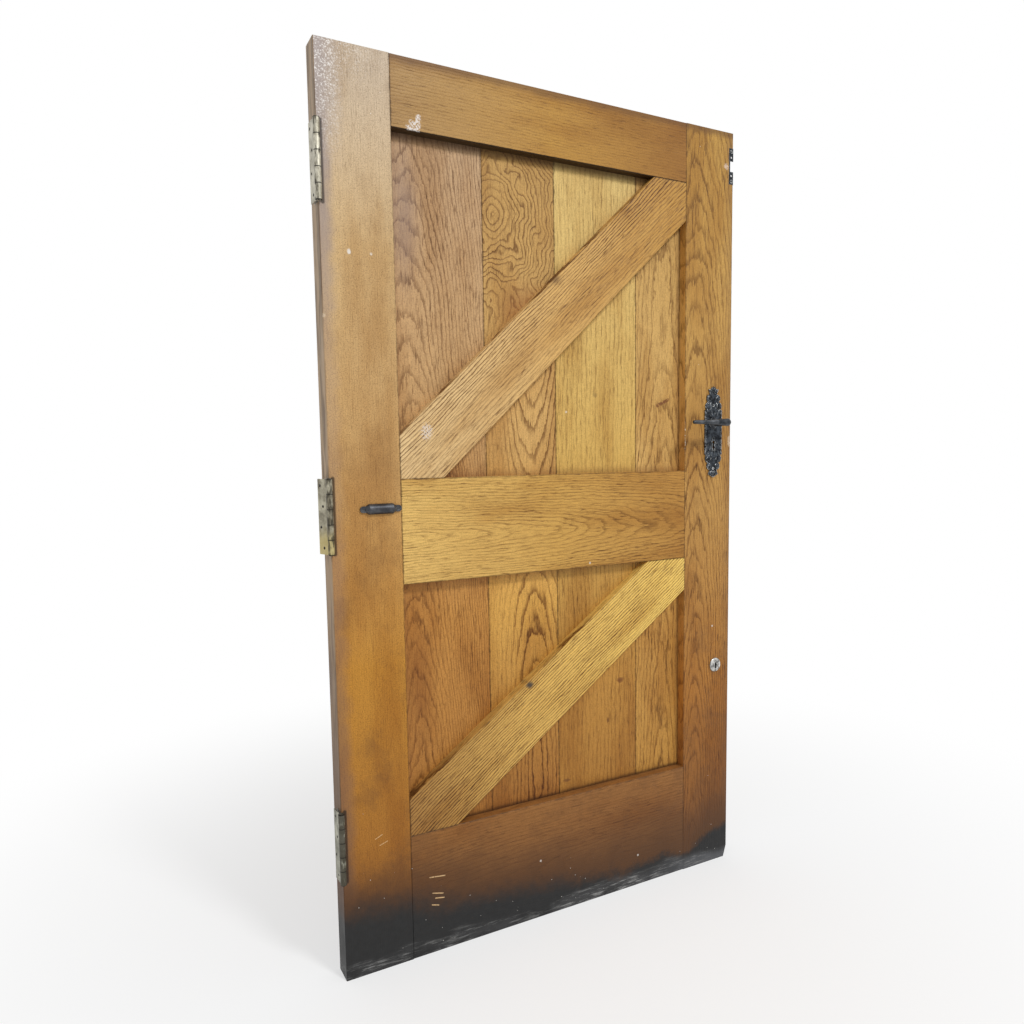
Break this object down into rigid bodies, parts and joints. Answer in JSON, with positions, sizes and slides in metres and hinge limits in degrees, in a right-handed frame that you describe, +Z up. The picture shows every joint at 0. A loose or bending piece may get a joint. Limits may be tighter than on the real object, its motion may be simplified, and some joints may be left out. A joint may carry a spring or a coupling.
{
  "type": "barn door",
  "caption": "Framed, ledged and braced oak barn door leaf with long butt hinges, a lever handle on ornate iron plates, a mortise lock and a lower key lock.",
  "frame": {"origin": "middle of the leaf's bottom edge, halfway through its thickness", "axes": "+X from the hinge edge to the lock edge, -Y out of the braced face, +Z up"},
  "size_m": [1.1445, 0.182, 2],
  "materials": {
    "oak_brown": "worn oiled oak, brown",
    "oak_pale": "worn oiled oak, golden",
    "hinge_steel": "dull, stained",
    "screw_steel": "dull",
    "black_iron": "black, worn bright on the high spots",
    "lock_steel": "plain sheet and bar",
    "lock_brass": "dull",
    "chrome": "polished, scuffed",
    "gunmetal": "dark satin"
  },
  "bodies": {
    "leaf": {"hinge_stile": "oak_brown", "lock_stile": "oak_brown", "top_rail": "oak_brown", "bottom_rail": "oak_brown", "board_1": "oak_brown", "board_2": "oak_brown", "board_4": "oak_brown", "middle_rail": "oak_pale", "upper_brace": "oak_pale", "lower_brace": "oak_pale", "board_3": "oak_pale", "top_hinge_door_leaf": "hinge_steel", "middle_hinge_door_leaf": "hinge_steel", "bottom_hinge_door_leaf": "hinge_steel", "hinge_screws": "screw_steel", "keep_screws": "screw_steel", "forend_screws": "screw_steel", "front_plate": "black_iron", "back_plate": "black_iron", "plate_screws": "black_iron", "board_nails": "black_iron", "lock_case": "lock_steel", "lock_cover": "lock_steel", "latch_spring": "lock_steel", "low_lock_case": "lock_steel", "lock_forend": "lock_brass", "low_lock_forend": "lock_brass", "front_rosette": "chrome", "back_rosette": "chrome", "keep_plate": "gunmetal", "stop_block": "gunmetal", "stop_screws": "gunmetal"},
    "top_frame_leaf": {"top_hinge_frame_leaf": "hinge_steel", "top_hinge_pin": "hinge_steel"},
    "middle_frame_leaf": {"middle_hinge_frame_leaf": "hinge_steel", "middle_hinge_pin": "hinge_steel"},
    "bottom_frame_leaf": {"bottom_hinge_frame_leaf": "hinge_steel", "bottom_hinge_pin": "hinge_steel"},
    "lever": {"front_lever": "black_iron", "back_lever": "black_iron", "spindle": "lock_steel", "follower": "lock_brass"},
    "latch": {"latch_bolt": "lock_brass"},
    "dead_bolt": {"dead_bolt": "lock_brass"},
    "low_bolt": {"low_lock_bolt": "lock_brass"}
  },
  "joints": [
    {"name": "top_hinge_turn", "type": "hinge", "parent": "leaf", "child": "top_frame_leaf", "pos_m": [-0.561, -0.0333, 1.76], "axis": [0, 0, 1], "range_deg": [-3, 262]},
    {"name": "middle_hinge_turn", "type": "hinge", "parent": "leaf", "child": "middle_frame_leaf", "pos_m": [-0.561, -0.0333, 1.037], "axis": [0, 0, 1], "range_deg": [-18, 247]},
    {"name": "bottom_hinge_turn", "type": "hinge", "parent": "leaf", "child": "bottom_frame_leaf", "pos_m": [-0.561, -0.0333, 0.31], "axis": [0, 0, 1], "range_deg": [-3, 262]},
    {"name": "lever_turn", "type": "hinge", "parent": "leaf", "child": "lever", "pos_m": [0.496, 0, 1.238], "axis": [0, -1, 0], "range_deg": [0, 30], "stiffness_Nm_per_rad": 2, "springref_deg": -22.92},
    {"name": "latch_slide", "type": "slide", "parent": "leaf", "child": "latch", "axis": [-1, 0, 0], "range_m": [0, 0.0086], "deforming": ["latch_spring"]},
    {"name": "dead_bolt_slide", "type": "slide", "parent": "leaf", "child": "dead_bolt", "axis": [1, 0, 0], "range_m": [0, 0.015]},
    {"name": "low_bolt_slide", "type": "slide", "parent": "leaf", "child": "low_bolt", "axis": [1, 0, 0], "range_m": [0, 0.015]}
  ],
  "couplings": [
    {"joint": "latch_slide", "follows": "lever_turn", "m_per_rad": 0.016234}
  ]
}
